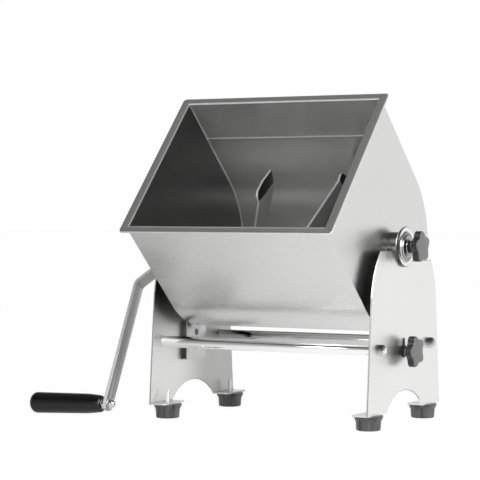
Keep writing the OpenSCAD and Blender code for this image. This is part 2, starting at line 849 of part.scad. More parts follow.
module crank_arm() {
    color("silver") on_crank() difference() {
        intersection() {
            translate([0, bar_w / 2, 0]) rotate([90, 0, 0]) linear_extrude(bar_w)
                polygon([for (p = strip(arm_path, bar_t, arm_bend_r)) [-p[0], -p[1]]]);
            union() {
                translate([-bar_x_far, -bar_w / 2, -arm_len]) cube([bar_x_far, bar_w, arm_len]);
                bar_x(-bar_x_far, 0, bar_w / 2);
                translate([0, 0, -arm_len]) bar_x(-bar_x_far, 0, bar_w / 2);
            }
        }
        translate([-x_arm - bar_t - 1, -square_w / 2 - run, -square_w / 2 - run])
            cube([bar_t + 2, square_w + 2 * run, square_w + 2 * run]);
        translate([-bolt_x, 0, -arm_len]) rotate([0, -arm_lean, 0])
            bar_x(-bar_t, bar_t, bolt_d / 2 + run);
    }
}

bar_x_far = arm_out_mid + 2 * bar_t;

// A cap nut along Z, its hexagon at the foot and its dome on top
module cap_nut(af, bore_r, h) {
    hex_h = h * 0.45;
    dome_r = af / 2 - 0.4;
    difference() {
        union() {
            hex_nut(af, hex_h, bore_r / 2);
            translate([0, 0, hex_h]) intersection() {
                cylinder(h = h - hex_h, r = dome_r);
                rotate_extrude() intersection() {
                    translate([0, h - hex_h - dome_r]) circle(r = dome_r);
                    square([dome_r, h]);
                }
            }
            cylinder(h = hex_h + 0.5, r = dome_r - 0.5);
        }
        translate([0, 0, -1]) cylinder(h = h * 0.7 + 1, r = bore_r);
    }
}

module crank_nut() {
    color("silver") on_crank() translate([-x_arm - bar_t, 0, 0]) rotate([0, -90, 0])
        cap_nut(crank_nut_af, end_thread_d / 2 + run, crank_nut_h);
}

cap_h = 9.5;

// The bolt carries the grip and holds it to the bar between its two nuts
module grip_bolt() {
    color("silver") on_grip() translate([0, 0, -bar_t / 2 - cap_h * 0.65])
        cylinder(h = cap_h * 0.65 + bar_t / 2 + grip_start + bolt_len, r = bolt_d / 2);
}

module grip_cap_nut() {
    color("silver") on_grip() translate([0, 0, -bar_t / 2]) rotate([180, 0, 0])
        cap_nut(bolt_nut_af, bolt_d / 2 + run, cap_h);
}

module grip_jam_nut() {
    color("silver") on_grip() translate([0, 0, bar_t / 2])
        hex_nut(bolt_nut_af, jam_nut_h, bolt_d / 2 + run);
}

module grip() {
    body_end = grip_len - grip_round;
    outer = [for (i = [0:8]) let (a = 11.25 * i)
        [grip_r - grip_round + grip_round * cos(a), body_end + grip_round * sin(a)]];
    neck = [for (i = [1:6]) let (u = i / 6)
        [grip_neck_r + (grip_mid_r - grip_neck_r) * sin(90 * u), grip_neck_len * u]];
    color([0.07, 0.07, 0.07]) on_grip() translate([0, 0, grip_start]) difference() {
        rotate_extrude() polygon(concat([[0, 0], [grip_neck_r - 1.2, 0], [grip_neck_r, 1.2]],
            neck, outer, [[0, grip_len]]));
        translate([0, 0, -1]) cylinder(h = bolt_len + 2, r = bolt_d / 2 + run);
    }
}

// Star knobs

// Outline of a star head: rounded corners, and a shallow round valley in each side
module star(grow) {
    step = 360 / lobe_count;
    lobe_at = knob_r - lobe_r;
    side_w = 2 * lobe_at * sin(step / 2);
    side_at = lobe_at * cos(step / 2) + lobe_r;
    difference() {
        for (i = [0:lobe_count - 1]) rotate(i * step) {
            translate([lobe_at, 0]) circle(r = lobe_r + grow);
            rotate(step / 2) translate([0, -side_w / 2]) square([side_at + grow, side_w]);
        }
        for (i = [0:lobe_count - 1]) rotate((i + 0.5) * step) translate([valley_at + valley_r, 0])
            circle(r = valley_r - grow);
    }
}

// A knob along Z: a conical boss, then the star head with stepped edges
module star_knob(boss_h, bore_r, bore_h) {
    edge_h = 1;
    difference() {
        union() {
            cylinder(h = boss_h, r1 = knob_boss_d / 2 - 1.2, r2 = knob_boss_d / 2);
            translate([0, 0, boss_h]) linear_extrude(edge_h) star(-0.8);
            translate([0, 0, boss_h + edge_h]) linear_extrude(knob_head_h - 2 * edge_h) star(0);
            translate([0, 0, boss_h + knob_head_h - edge_h]) linear_extrude(edge_h) star(-0.8);
        }
        translate([0, 0, -1]) cylinder(h = bore_h + 1, r = bore_r);
    }
}

screw_in_knob = 12;
lock_in_knob = 13;

module release_screw() {
    color("silver") on_tank() {
        bar_x(shaft_end + shaft_end_gap, x_release + screw_in_knob, release_d / 2);
        bar_x(shaft_end - pin_in, shaft_end + shaft_end_gap, pin_d / 2);
    }
}

module release_knob() {
    color([0.16, 0.16, 0.16]) on_pivot() translate([x_release, 0, 0])
        rotate([90, 0, 90]) rotate(90 + release_turn)
            star_knob(knob_boss_h, release_d / 2 + run, screw_in_knob + play);
}

module lock_screw() {
    color("silver") placed() translate([0, -pivot_fwd, lock_h])
        bar_x(lock_tip, x_lock + lock_in_knob, lock_d / 2);
}

module lock_knob() {
    color([0.16, 0.16, 0.16]) placed() translate([x_lock, -pivot_fwd, lock_h]) rotate([90, 0, 90])
        rotate(180) difference() {
            star_knob(lock_neck_h, lock_d / 2 + run, lock_in_knob + play);
            translate([0, 0, -1]) cylinder(h = sleeve_h - tab_t + 1, r = sleeve_r + play);
        }
}

leg_plate_left();
leg_plate_right();
tie_rod_front();
tie_rod_rear();
tie_rod_nuts();
foot_front_left();
foot_front_right();
foot_rear_left();
foot_rear_right();
foot_studs();
catch_bracket();
pivot_liner_left();
pivot_liner_right();
lock_boss();
lock_tab_washer();
tank_wrap();
tank_end_left();
tank_end_right();
rim_flange();
trunnion_left();
trunnion_right();
hub_flange_left();
hub_flange_right();
bearing_bush();
lock_ear();
catch_ear();
catch_stud();
mixing_shaft();
paddle_1();
paddle_2();
paddle_3();
paddle_4();
drive_spindle();
thrust_seal();
crank_arm();
crank_nut();
grip_bolt();
grip_cap_nut();
grip_jam_nut();
grip();
release_screw();
release_knob();
lock_screw();
lock_knob();
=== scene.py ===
import json
import math

import bpy
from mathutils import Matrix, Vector

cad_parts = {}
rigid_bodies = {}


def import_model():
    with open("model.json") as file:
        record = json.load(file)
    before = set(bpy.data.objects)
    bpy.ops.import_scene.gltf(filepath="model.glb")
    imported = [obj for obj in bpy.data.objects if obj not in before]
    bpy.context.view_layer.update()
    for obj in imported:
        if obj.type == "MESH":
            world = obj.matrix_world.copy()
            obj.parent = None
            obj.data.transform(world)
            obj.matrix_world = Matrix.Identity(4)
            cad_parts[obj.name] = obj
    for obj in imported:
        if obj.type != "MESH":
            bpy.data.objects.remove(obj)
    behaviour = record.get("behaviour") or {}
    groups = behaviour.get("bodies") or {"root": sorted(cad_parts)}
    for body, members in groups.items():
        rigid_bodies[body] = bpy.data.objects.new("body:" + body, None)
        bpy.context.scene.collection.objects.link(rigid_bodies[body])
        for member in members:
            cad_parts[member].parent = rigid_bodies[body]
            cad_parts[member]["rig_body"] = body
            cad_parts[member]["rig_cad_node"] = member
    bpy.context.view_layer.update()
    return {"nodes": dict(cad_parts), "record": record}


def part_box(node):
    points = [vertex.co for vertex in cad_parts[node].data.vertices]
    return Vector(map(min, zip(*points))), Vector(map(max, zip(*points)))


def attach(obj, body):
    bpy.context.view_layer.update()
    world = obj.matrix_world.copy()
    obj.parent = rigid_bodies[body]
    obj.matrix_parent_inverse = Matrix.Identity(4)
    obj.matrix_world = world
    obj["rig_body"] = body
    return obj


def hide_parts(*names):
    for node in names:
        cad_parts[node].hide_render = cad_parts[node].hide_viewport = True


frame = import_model()
print("frame loaded")

record = frame["record"]
joints = {joint["name"]: joint for joint in record["behaviour"]["joints"]}
slotOf = {part["node"]: part["material_slot"] for part in record["subparts"]}
bodyOf = {node: body for body, members in record["behaviour"]["bodies"].items()
          for node in members}
pivot = Vector(joints["tank_tilt"]["pos_m"])  # the tank tilts about the shaft's axis


# Color, roughness, the way the brushed lines run, and the share of metal
brushedSteel = {
    "plate_steel": ((0.83, 0.83, 0.82), 0.34, "z"),
    "tank_steel": ((0.7, 0.7, 0.69), 0.3, "x"),
    "rim_steel": ((0.8, 0.8, 0.79), 0.4, "x"),
    "paddle_steel": ((0.55, 0.55, 0.55), 0.4, "z", 0.4),
    "crank_steel": ((0.45, 0.45, 0.45), 0.28, "z"),
}

# Color and roughness
turnedSteel = {
    "turned_steel": ((0.66, 0.66, 0.66), 0.16),
    "polished_steel": ((0.74, 0.74, 0.74), 0.1),
}

# Color, roughness and grain, and for the feet the stretch, scale and strength of patches
plastics = {
    "grip_plastic": ((0.005, 0.005, 0.0055), 0.14, 0.0),
    "knob_plastic": ((0.02, 0.02, 0.021), 0.26, 0.1),
    "foot_rubber": ((0.09, 0.09, 0.093), 0.3, 0.15, (1, 1, 0.04), 110, 0.75),
    "seal_rubber": ((0.02, 0.02, 0.02), 0.55, 0.3),
    "washer_black": ((0.015, 0.015, 0.015), 0.4, 0.1),
    "bearing_plastic": ((0.8, 0.79, 0.75), 0.45, 0.1),
}

# Depths are in metres, and scales are in waves to a metre
surfaces = {
    "brushStretch": 0.02,
    "brushScale": 2200,
    "brushDepth": 0.0001,
    "cloudScale": 14,
    "sheetWaves": 0.0008,
    "turnedStretch": 0.05,
    "turnedScale": 1800,
    "turnedTint": 0.02,
    "turnedRough": (0.8, 1.25),
    "grooveTint": 0.5,
    "grooveBump": 0.5,
    "plasticRough": (0.9, 1.1),
    "grainScale": 1500,
    "grainDepth": 0.0002,
}
noiseRange = (0.3, 0.7)  # where most of a noise's values lie


def newMaterial(name):
    mat = bpy.data.materials.new(name)
    mat.use_nodes = True
    return mat, mat.node_tree.nodes, mat.node_tree.links


def objectNoise(nodes, links, stretch, scale, detail=3.0):
    place = nodes.new("ShaderNodeTexCoord")
    mapping = nodes.new("ShaderNodeMapping")
    mapping.inputs["Scale"].default_value = stretch
    noise = nodes.new("ShaderNodeTexNoise")
    noise.inputs["Scale"].default_value = scale
    noise.inputs["Detail"].default_value = detail
    links.new(place.outputs["Object"], mapping.inputs["Vector"])
    links.new(mapping.outputs["Vector"], noise.inputs["Vector"])
    return noise.outputs["Fac"]


def mapped(nodes, links, value, source, target, smooth=False):
    span = nodes.new("ShaderNodeMapRange")
    if smooth:
        span.interpolation_type = "SMOOTHSTEP"
    span.inputs["From Min"].default_value, span.inputs["From Max"].default_value = source
    span.inputs["To Min"].default_value, span.inputs["To Max"].default_value = target
    links.new(value, span.inputs["Value"])
    return span.outputs["Result"]


# A math node on sockets and numbers
def computed(nodes, links, operation, *values):
    node = nodes.new("ShaderNodeMath")
    node.operation = operation
    for value, socket in zip(values, node.inputs):
        if isinstance(value, (int, float)):
            socket.default_value = value
        else:
            links.new(value, socket)
    return node.outputs[0]


def tinted(nodes, links, value, color, spread):
    mix = nodes.new("ShaderNodeMix")
    mix.data_type = "RGBA"
    mix.inputs["A"].default_value = tuple(c * (1 - spread) for c in color) + (1,)
    mix.inputs["B"].default_value = tuple(min(1, c * (1 + spread)) for c in color) + (1,)
    links.new(value, mix.inputs["Factor"])
    return mix.outputs["Result"]


def bumped(nodes, links, value, shader, strength, height, under=None):
    bump = nodes.new("ShaderNodeBump")
    if under:
        links.new(under, bump.inputs["Normal"])
    bump.inputs["Strength"].default_value = strength
    bump.inputs["Distance"].default_value = height
    links.new(value, bump.inputs["Height"])
    links.new(bump.outputs["Normal"], shader.inputs["Normal"])
    return bump.outputs["Normal"]


# Sheet with fine lines along x or z, over soft clouds and waves
def brushedSheet(name, color, roughness, grain, metallic=1, grainDepth=0.05, spread=0.18,
                 cloudy=0.03):
    mat, nodes, links = newMaterial(name)
    shader = nodes["Principled BSDF"]
    shader.inputs["Metallic"].default_value = metallic
    along = surfaces["brushStretch"]
    stretch = {"x": (along, 1, 1), "z": (1, 1, along)}[grain]
    lines = objectNoise(nodes, links, stretch, surfaces["brushScale"])
    clouds = objectNoise(nodes, links, (1, 1, 1), surfaces["cloudScale"])
    links.new(tinted(nodes, links, clouds, color, cloudy), shader.inputs["Base Color"])
    rough = mapped(nodes, links, lines, noiseRange,
                   (roughness * (1 - spread), roughness * (1 + spread)))
    links.new(rough, shader.inputs["Roughness"])
    waves = bumped(nodes, links, clouds, shader, 1, surfaces["sheetWaves"])
    bumped(nodes, links, lines, shader, grainDepth, surfaces["brushDepth"], waves)
    return mat


# Turned work with rings round the x axis
def turnedMetal(name, color, roughness):
    mat, nodes, links = newMaterial(name)
    shader = nodes["Principled BSDF"]
    shader.inputs["Metallic"].default_value = 1
    stretch = (1, surfaces["turnedStretch"], surfaces["turnedStretch"])
    rings = objectNoise(nodes, links, stretch, surfaces["turnedScale"])
    links.new(tinted(nodes, links, rings, color, surfaces["turnedTint"]),
              shader.inputs["Base Color"])
    low, high = surfaces["turnedRough"]
    rough = mapped(nodes, links, rings, noiseRange, (roughness * low, roughness * high))
    links.new(rough, shader.inputs["Roughness"])
    return mat


def mouldedPlastic(name, color, roughness, grainy, patchStretch=(1, 1, 1), patchScale=30,
                   patchy=0.08):
    mat, nodes, links = newMaterial(name)
    shader = nodes["Principled BSDF"]
    grains = objectNoise(nodes, links, (1, 1, 1), surfaces["grainScale"], 2)
    patches = objectNoise(nodes, links, patchStretch, patchScale)
    patches = mapped(nodes, links, patches, noiseRange, (0, 1))
    links.new(tinted(nodes, links, patches, color, patchy), shader.inputs["Base Color"])
    low, high = surfaces["plasticRough"]
    rough = mapped(nodes, links, grains, noiseRange, (roughness * low, roughness * high))
    links.new(rough, shader.inputs["Roughness"])
    if grainy:
        bumped(nodes, links, grains, shader, grainy, surfaces["grainDepth"])
    return mat


# A sheet whose tone fades along an axis, from its full color at the start to a share at the end
def fadedSheet(name, color, roughness, grain, fades):
    mat = brushedSheet(name, color, roughness, grain)
    nodes, links = mat.node_tree.nodes, mat.node_tree.links
    shader = nodes["Principled BSDF"]
    tone = shader.inputs["Base Color"].links[0].from_socket
    place = nodes.new("ShaderNodeTexCoord")
    split = nodes.new("ShaderNodeSeparateXYZ")
    links.new(place.outputs["Object"], split.inputs[0])
    for axis, start, end, share in fades:
        dim = nodes.new("ShaderNodeMix")
        dim.data_type = "RGBA"
        dim.blend_type = "MULTIPLY"
        dim.inputs["Factor"].default_value = 1
        links.new(tone, dim.inputs["A"])
        links.new(mapped(nodes, links, split.outputs[axis], (start, end), (1, share), smooth=True),
                  dim.inputs["B"])
        tone = dim.outputs["Result"]
    links.new(tone, shader.inputs["Base Color"])
    return mat


# Where rings stop at a radius, the metal outside it is plain
plainRing = {
    "color": (0.85, 0.85, 0.85, 1),
    "softEdge": 0.0005,
}


# Grooves at an even gap: rings round the shaft's axis, or threads along x
def groovedMetal(name, color, roughness, ringGap, keptAxes, depth, plainFrom=None):
    mat, nodes, links = newMaterial(name)
    shader = nodes["Principled BSDF"]
    shader.inputs["Metallic"].default_value = 1
    shader.inputs["Roughness"].default_value = roughness
    place = nodes.new("ShaderNodeTexCoord")
    shift = nodes.new("ShaderNodeVectorMath")
    shift.operation = "SUBTRACT"
    shift.inputs[1].default_value = pivot
    flat = nodes.new("ShaderNodeVectorMath")
    flat.operation = "MULTIPLY"
    flat.inputs[1].default_value = keptAxes
    reach = nodes.new("ShaderNodeVectorMath")
    reach.operation = "LENGTH"
    links.new(place.outputs["Object"], shift.inputs[0])
    links.new(shift.outputs[0], flat.inputs[0])
    links.new(flat.outputs[0], reach.inputs[0])
    away = reach.outputs["Value"]
    turns = computed(nodes, links, "MULTIPLY", away, 2 * math.pi / ringGap)
    wave = mapped(nodes, links, computed(nodes, links, "SINE", turns), (-1, 1), (0, 1))
    tone = tinted(nodes, links, wave, color, surfaces["grooveTint"])
    if plainFrom:
        plain = nodes.new("ShaderNodeMix")
        plain.data_type = "RGBA"
        plain.inputs["B"].default_value = plainRing["color"]
        edge = mapped(nodes, links, away, (plainFrom, plainFrom + plainRing["softEdge"]), (0, 1))
        links.new(edge, plain.inputs["Factor"])
        links.new(tone, plain.inputs["A"])
        tone = plain.outputs["Result"]
    links.new(tone, shader.inputs["Base Color"])
    bumped(nodes, links, wave, shader, surfaces["grooveBump"], depth)
    return mat


finishes = {}
for slot, sheet in brushedSteel.items():
    finishes[slot] = brushedSheet(slot, *sheet)
for slot, turned in turnedSteel.items():
    finishes[slot] = turnedMetal(slot, *turned)
for slot, plastic in plastics.items():
    finishes[slot] = mouldedPlastic(slot, *plastic)

# Pieces that look unlike the rest of their slot. A fade is its axis, start, end and last share
nutLow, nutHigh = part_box("tie_rod_nuts")
nutHeight = (nutLow.z + nutHigh.z) / 2
aroundShaft, alongShaft = (0, 1, 1), (1, 0, 0)
hubFace = groovedMetal("hubFace", (0.38, 0.38, 0.38), 0.24, 0.0032, aroundShaft, 0.0002, 0.0205)
ownFinishes = {
    # painted reflection: the right trunnion is darker above the shaft's axis, as if mirroring the
    # dim ceiling
    "trunnion_right": fadedSheet("trunnionPaintedReflection", (0.5, 0.5, 0.5), 0.3, "z",
                                 (("Z", pivot.z - 0.001, pivot.z + 0.002, 0.25),)),
    # painted reflection: the nuts are darker towards their tops, as if mirroring the dark above
    # them
    "tie_rod_nuts": fadedSheet("nutPaintedReflection", (0.66, 0.66, 0.66), 0.14, "x",
                               (("Z", nutHeight - 0.004, nutHeight + 0.003, 0.15),)),
    # painted shade: the catch bracket and its ear are darker steel, for the shade they sit in under
    # the tank
    "catch_bracket": brushedSheet("bracketPaintedShade", (0.6, 0.6, 0.6), 0.4, "z"),
    "catch_ear": brushedSheet("earPaintedShade", (0.5, 0.5, 0.5), 0.4, "z"),
    # painted light and shade: the front tie rod is a lighter copy of the steel, the rear one a
    # darker copy in the shade under the tank
    "tie_rod_front": turnedMetal("frontRodPaintedLight", (0.92, 0.92, 0.92), 0.08),
    "tie_rod_rear": turnedMetal("rearRodPaintedShade", (0.6, 0.6, 0.6), 0.08),
    "hub_flange_left": hubFace,
    "hub_flange_right": hubFace,
    "release_screw": groovedMetal("screwThread", (0.5, 0.5, 0.5), 0.2, 0.00175, alongShaft, 0.0006),
    "lock_screw": groovedMetal("lockThread", (0.5, 0.5, 0.5), 0.2, 0.0015, alongShaft, 0.0006),
}
print("materials made")


# Finishes on the nodes
for name, piece in frame["nodes"].items():
    piece.data.materials.clear()
    piece.data.materials.append(ownFinishes.get(name, finishes[slotOf[name]]))

# How much of a face's normal lies along an axis
facing = {
    "squarely": 0.9,
    "nearly": 0.8,
    "half": 0.5,
    "edgeOn": 0.3,
    "sideways": 0.1,
    "inwards": -0.2,
}


# Gives one more finish to the faces that isPicked picks
def finishFaces(node, finish, isPicked):
    piece = frame["nodes"][node]
    piece.data.materials.append(finish)
    for face in piece.data.polygons:
        if isPicked(face):
            face.material_index = len(piece.data.materials) - 1


def isNarrowSide(face):
    return abs(face.normal.x) < facing["edgeOn"]


# The food side of the tank is a duller sheet than its outside, and the end walls' insides carry
# painted shade
insideSteel = {
    "wrap": {
        "color": (0.82, 0.82, 0.81),
        "roughness": 0.24,
        "grain": "x",
        "metallic": 0.64,
        "grainDepth": 0.004,
        "spread": 0.03,
        "cloudy": 0.2,
    },
    # painted shade: the end walls' insides are dark, and darker still towards the top
    "endWallPaintedShade": {
        "color": (0.24, 0.24, 0.24),
        "roughness": 0.36,
        "grain": "z",
        "fades": (("Z", 0.22, 0.42, 0.52),),
    },
}


def facesShaft(face):
    reach = Vector((0, face.center.y - pivot.y, face.center.z - pivot.z)).normalized()
    return abs(face.normal.x) < facing["half"] and reach.dot(face.normal) < facing["inwards"]


wrapInside = brushedSheet("wrapInside", **insideSteel["wrap"])
endInsidePaintedShade = fadedSheet("endInsidePaintedShade", **insideSteel["endWallPaintedShade"])
finishFaces("tank_wrap", wrapInside, facesShaft)
finishFaces("tank_end_left", endInsidePaintedShade, lambda face: face.normal.x > facing["squarely"])
finishFaces("tank_end_right", endInsidePaintedShade, lambda face: face.normal.x < -facing["squarely"])

# The insides of the leg plates carry a painted reflection of the dark gap beside the tank, darker
# towards the top, and on the left also towards the rear
plateInsidePaintedReflection = {
    "left": {
        "color": (0.78, 0.78, 0.77),
        "roughness": 0.4,
        "grain": "z",
        "fades": (("Z", 0.1, 0.19, 0.12), ("Y", 0.0, 0.09, 0.6)),
    },
    "right": {
        "color": (0.6, 0.6, 0.6),
        "roughness": 0.4,
        "grain": "z",
        "fades": (("Z", 0.12, 0.17, 0.04),),
    },
}
finishFaces("leg_plate_left", fadedSheet("leftInsidePaintedReflection", **plateInsidePaintedReflection["left"]),
            lambda face: face.normal.x > facing["half"])
finishFaces("leg_plate_right", fadedSheet("rightInsidePaintedReflection", **plateInsidePaintedReflection["right"]),
            lambda face: face.normal.x < -facing["half"])

# Faces that look unlike the rest of their piece: color, roughness, brushed lines, share of metal
faceSteel = {
    # painted shadow: the paddles' faces beyond the fold are dark
    "paddleTipPaintedShadow": ((0.12, 0.12, 0.12), 0.3, "z"),  # beyond the fold, in the trough's shadow
    # painted highlight: the paddles' cut edges are near white
    "paddleCutPaintedHighlight": ((0.95, 0.95, 0.95), 0.4, "z", 0.4),
    # painted shade: the hub flanges' narrow sides are near black
    "hubSidePaintedShade": ((0.04, 0.04, 0.04), 0.5, "x"),  # dark beside the turned faces
    # painted light: the crank bar's narrow sides are near white
    "crankSidePaintedLight": ((0.95, 0.95, 0.95), 0.4, "z", 0.1),  # the bar's narrow sides catch the light
}
# painted light: the knobs' flat fronts, turned to the side lamp, are a lighter copy of the plastic
knobFacePaintedLight = {
    "color": (0.15, 0.15, 0.152),  # the flat front is lighter than the flutes
    "roughness": 0.4,
    "grainy": 0.2,
}
paddleFold = math.radians(5)

faceFinishes = {name: brushedSheet(name, *look) for name, look in faceSteel.items()}
for name in ("paddle_1", "paddle_2", "paddle_3", "paddle_4"):
    finishFaces(name, faceFinishes["paddleTipPaintedShadow"], lambda face: face.normal.x > math.cos(paddleFold))
    finishFaces(name, faceFinishes["paddleCutPaintedHighlight"], isNarrowSide)
for name in ("hub_flange_left", "hub_flange_right"):
    finishFaces(name, faceFinishes["hubSidePaintedShade"], isNarrowSide)
finishFaces("crank_arm", faceFinishes["crankSidePaintedLight"],
            lambda face: abs(face.normal.y) > facing["nearly"])
knobPaintedLight = mouldedPlastic("knobFacePaintedLight", **knobFacePaintedLight)
for name in ("release_knob", "lock_knob"):
    finishFaces(name, knobPaintedLight, lambda face: face.normal.x > facing["squarely"])
print("finishes given to", len(frame["nodes"]), "pieces")


# Pieces with worked edges: width in millimetres, segments, and a finish where it has its own
edgeRounds = {
    "release_knob": (0.9, 3, "knobEdgePaintedHighlight"),
    "lock_knob": (0.9, 3, "knobEdgePaintedHighlight"),
    "rim_flange": (1.1, 3, None),
    "crank_arm": (0.7, 2, None),
    "paddle_1": (0.7, 2, "paddleEdgePaintedHighlight"),
    "paddle_2": (0.7, 2, "paddleEdgePaintedHighlight"),
    "paddle_3": (0.7, 2, "paddleEdgePaintedHighlight"),
    "paddle_4": (0.7, 2, "paddleEdgePaintedHighlight"),
    "leg_plate_left": (0.7, 1, "plateEdgePaintedShade"),
    "leg_plate_right": (0.7, 1, "plateEdgePaintedShade"),
    "lock_ear": (0.4, 2, None),
    "catch_ear": (0.4, 2, None),
    "catch_bracket": (0.4, 2, None),
    "lock_tab_washer": (0.2, 2, None),
    "foot_front_left": (0.7, 3, None),
    "foot_front_right": (0.7, 3, None),
    "foot_rear_left": (0.7, 3, None),
    "foot_rear_right": (0.7, 3, None),
    "tie_rod_front": (0.5, 2, None),
    "tie_rod_rear": (0.5, 2, None),
    "trunnion_left": (0.5, 2, None),
    "trunnion_right": (0.5, 2, None),
    "hub_flange_left": (0.7, 3, "hubEdgePaintedShade"),
    "hub_flange_right": (0.7, 3, "hubEdgePaintedShade"),
}
edgeFinishes = {
    # painted highlight on the knobs' rounded edges
    "knobEdgePaintedHighlight": mouldedPlastic("knobEdgePaintedHighlight", (0.2, 0.2, 0.202), 0.16, 0),
    # painted shade on the hub flanges' rounded edges
    "hubEdgePaintedShade": brushedSheet("hubEdgePaintedShade", (0.1, 0.1, 0.1), 0.3, "x"),
    # painted highlight on the paddles' rounded edges
    "paddleEdgePaintedHighlight": brushedSheet("paddleEdgePaintedHighlight", (0.95, 0.95, 0.95), 0.4, "z", 0.4),
    # painted shade on the leg plates' rounded edges
    "plateEdgePaintedShade": brushedSheet("plateEdgePaintedShade", (0.2, 0.2, 0.2), 0.3, "z"),
}
edgeWork = {
    "mergeWithin": 0.000005,
    "flatWithin": math.radians(0.5),
    "sharpFrom": math.radians(40),
    "smoothTo": math.radians(32),
    "tabReach": 0.01,  # a plate's tabs lie in this much of its height
    "frontRise": 0.15,  # an edge that rises less from the front stays dark
}


def onlySelect(piece):
    bpy.ops.object.select_all(action="DESELECT")
    piece.select_set(True)
    bpy.context.view_layer.objects.active = piece


def mergedCopy(node):
    onlySelect(frame["nodes"][node])
    bpy.ops.object.duplicate()
    piece = bpy.context.object
    piece.name = node + "Worked"
    piece.parent = None
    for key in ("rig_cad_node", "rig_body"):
        if key in piece:
            del piece[key]
    bpy.ops.object.mode_set(mode="EDIT")
    bpy.ops.mesh.select_all(action="SELECT")
    bpy.ops.mesh.remove_doubles(threshold=edgeWork["mergeWithin"])
    bpy.ops.mesh.customdata_custom_splitnormals_clear()
    bpy.ops.mesh.dissolve_limited(angle_limit=edgeWork["flatWithin"])
    bpy.ops.object.mode_set(mode="OBJECT")
    return piece


# The edge that curves up from the front keeps the plate's finish, as it is lit, and the others keep
# the painted shade, seen against white
def brightenFrontEdge(piece):
    for face in piece.data.polygons:
        if face.material_index == len(piece.data.materials) - 1:
            across = Vector((0, face.normal.y, face.normal.z)).normalized()
            if across.y < 0 and across.z > edgeWork["frontRise"]:
                face.material_index = 0


# Picks the edges round a plate's broad sides, and leaves those of the tabs under it
def weighOutline(piece):
    mesh = piece.data
    turns = {}
    for face in mesh.polygons:
        for key in face.edge_keys:
            turns.setdefault(key, []).append(abs(face.normal.x))
    weights = mesh.attributes.new("bevel_weight_edge", "FLOAT", "EDGE")
    tabTop = min(v.co.z for v in mesh.vertices) + edgeWork["tabReach"]
    for edge in mesh.edges:
        isAbove = max(mesh.vertices[i].co.z for i in edge.vertices) > tabTop
        across = turns[edge.key]
        isOutline = min(across) < facing["sideways"] and max(across) > facing["squarely"]
        weights.data[edge.index].value = float(isAbove and isOutline)


def roundEdges(piece, width, segments, edgeFinish):
    isPlate = edgeFinish == "plateEdgePaintedShade"
    onlySelect(piece)
    if isPlate:
        weighOutline(piece)
    bevel = piece.modifiers.new("edges", "BEVEL")
    bevel.width = width / 1000
    bevel.segments = segments
    bevel.limit_method = "WEIGHT" if isPlate else "ANGLE"
    bevel.angle_limit = edgeWork["sharpFrom"]
    bevel.use_clamp_overlap = not isPlate
    bevel.miter_outer = "MITER_ARC" if segments > 1 else "MITER_SHARP"
    if edgeFinish:
        piece.data.materials.append(edgeFinishes[edgeFinish])
        bevel.material = len(piece.data.materials) - 1
    bpy.ops.object.modifier_apply(modifier=bevel.name)
    if isPlate:
        brightenFrontEdge(piece)
    bpy.ops.object.shade_smooth_by_angle(angle=edgeWork["smoothTo"])


for node, (width, segments, edgeFinish) in edgeRounds.items():
    piece = mergedCopy(node)
    roundEdges(piece, width, segments, edgeFinish)
    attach(piece, bodyOf[node])
    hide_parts(node)
print("edges rounded on", len(edgeRounds), "pieces")


# Trim on the tank, modelled upright round the shaft's axis and then leaned as the tank is
tank = {
    "half": 0.1175,  # from the shaft's axis to the front and rear walls
    "arcRise": 0.0054,  # the trough's centre above the shaft's axis
    "hemAt": 0.1662,
    "lean": math.radians(-joints["tank_tilt"]["range_deg"][0]),
}
wrapLow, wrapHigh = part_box("tank_wrap")
wrapLength = wrapHigh.x - wrapLow.x
wrapMiddle = (wrapHigh.x + wrapLow.x) / 2
trimSmoothTo = math.radians(40)


def leanWithTank(piece, name, finish):
    onlySelect(piece)
    bpy.ops.object.mode_set(mode="EDIT")
    bpy.ops.mesh.select_all(action="SELECT")
    bpy.ops.transform.rotate(value=-tank["lean"], orient_axis="X", center_override=(0, 0, 0))
    bpy.ops.transform.translate(value=(0, pivot.y, pivot.z))
    bpy.ops.object.mode_set(mode="OBJECT")
    bpy.ops.object.transform_apply(location=True, rotation=True, scale=True)
    bpy.ops.object.shade_smooth_by_angle(angle=trimSmoothTo)
    piece.name = name
    piece.data.materials.append(finish)
    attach(piece, "tank")


# Weld beads inside the tank, where the end walls meet the wrap
weldBead = {
    "radius": 0.0011,
    "sides": 10,
    "arcSteps": 40,
    "inFromEnd": 0.0003,
    "mergeWithin": 0.00001,
}


def makeWeld(name, x):
    bpy.ops.object.select_all(action="DESELECT")
    bpy.ops.mesh.primitive_circle_add(vertices=weldBead["sides"], radius=weldBead["radius"],
                                      location=(x, tank["half"], tank["hemAt"]))
    bead = bpy.context.object
    drop = tank["arcRise"] - tank["hemAt"]
    bpy.ops.object.mode_set(mode="EDIT")
    bpy.ops.mesh.select_all(action="SELECT")
    bpy.ops.mesh.extrude_region_move(TRANSFORM_OT_translate={"value": (0, 0, drop)})
    bpy.ops.mesh.spin(steps=weldBead["arcSteps"], angle=math.pi,
                      center=(x, 0, tank["arcRise"]), axis=(1, 0, 0))
    bpy.ops.mesh.extrude_region_move(TRANSFORM_OT_translate={"value": (0, 0, -drop)})
    bpy.ops.mesh.select_all(action="SELECT")
    bpy.ops.mesh.remove_doubles(threshold=weldBead["mergeWithin"])
    bpy.ops.mesh.fill_holes(sides=weldBead["sides"])
    bpy.ops.mesh.normals_make_consistent(inside=False)
    bpy.ops.object.mode_set(mode="OBJECT")
    leanWithTank(bead, name, wrapInside)


makeWeld("weldBeadLeft", wrapLow.x + weldBead["inFromEnd"])
makeWeld("weldBeadRight", wrapHigh.x - weldBead["inFromEnd"])
print("weld beads made")


